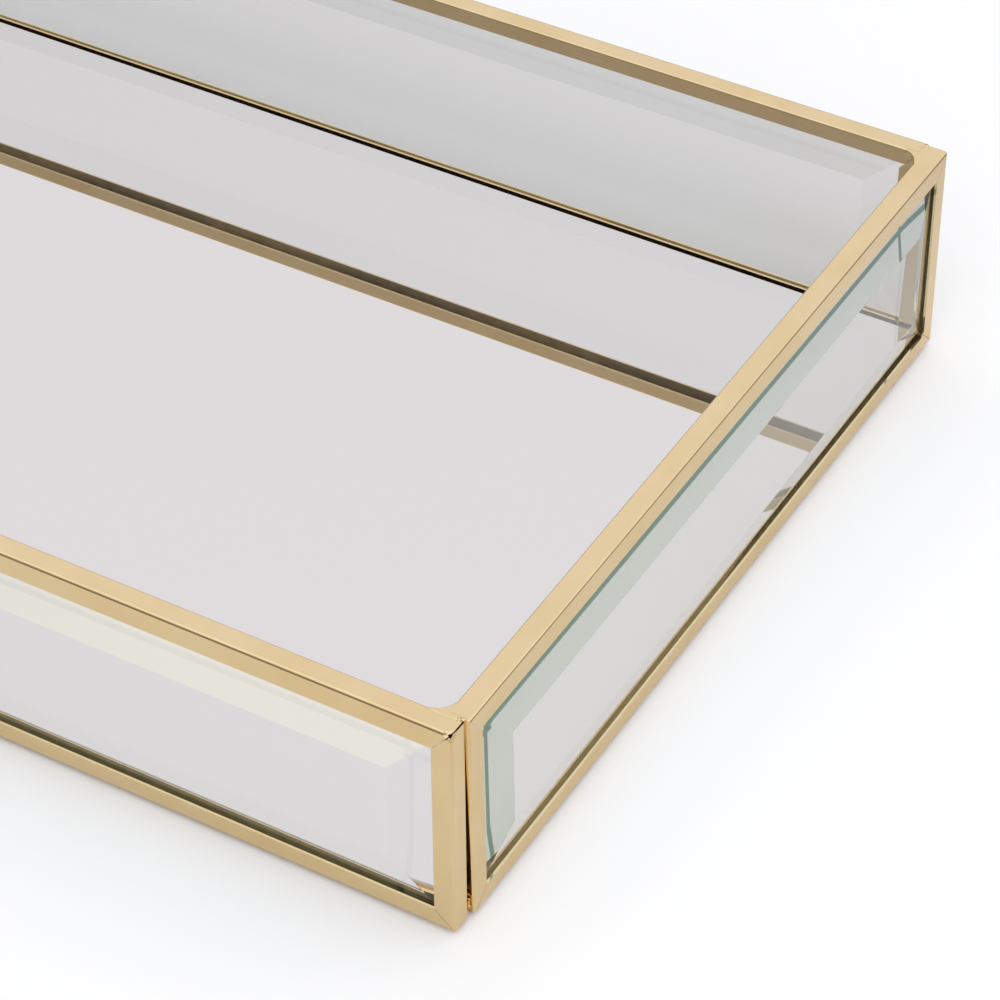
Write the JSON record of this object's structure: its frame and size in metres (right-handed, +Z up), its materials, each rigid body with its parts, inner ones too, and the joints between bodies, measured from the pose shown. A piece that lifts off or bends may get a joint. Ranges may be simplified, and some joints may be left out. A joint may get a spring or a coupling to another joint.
{
  "type": "dresser vanity tray",
  "caption": "Rectangular dresser tray with bevelled clear glass walls in folded brass channel around a mirror base.",
  "frame": {"origin": "on the surface the tray stands on, at the middle of its footprint", "axes": "+X along the long side, +Y along the short side towards the back wall, +Z up"},
  "size_m": [0.3068, 0.2048, 0.052],
  "materials": {
    "brass_channel": "satin",
    "pane_glass": "polished",
    "silvered_mirror": "polished",
    "hardboard": "matte",
    "pad_rubber": "matte",
    "solder": "polished"
  },
  "bodies": {
    "root": {"front_bottom_rail": "brass_channel", "front_top_rail": "brass_channel", "front_left_stile": "brass_channel", "front_right_stile": "brass_channel", "front_glass": "pane_glass", "right_bottom_rail": "brass_channel", "right_top_rail": "brass_channel", "right_front_stile": "brass_channel", "right_back_stile": "brass_channel", "right_glass": "pane_glass", "back_bottom_rail": "brass_channel", "back_top_rail": "brass_channel", "back_right_stile": "brass_channel", "back_left_stile": "brass_channel", "back_glass": "pane_glass", "left_bottom_rail": "brass_channel", "left_top_rail": "brass_channel", "left_back_stile": "brass_channel", "left_front_stile": "brass_channel", "left_glass": "pane_glass", "front_ledge": "brass_channel", "right_ledge": "brass_channel", "back_ledge": "brass_channel", "left_ledge": "brass_channel", "base_board": "hardboard", "mirror": "silvered_mirror", "pad_front_left": "pad_rubber", "solder_fillet_front_left": "solder", "solder_bead_front_left": "solder", "solder_plug_front_left": "solder", "pad_front_right": "pad_rubber", "solder_fillet_front_right": "solder", "solder_bead_front_right": "solder", "solder_plug_front_right": "solder", "pad_back_left": "pad_rubber", "solder_fillet_back_left": "solder", "solder_bead_back_left": "solder", "solder_plug_back_left": "solder", "pad_back_right": "pad_rubber", "solder_fillet_back_right": "solder", "solder_bead_back_right": "solder", "solder_plug_back_right": "solder"}
  },
  "joints": []
}
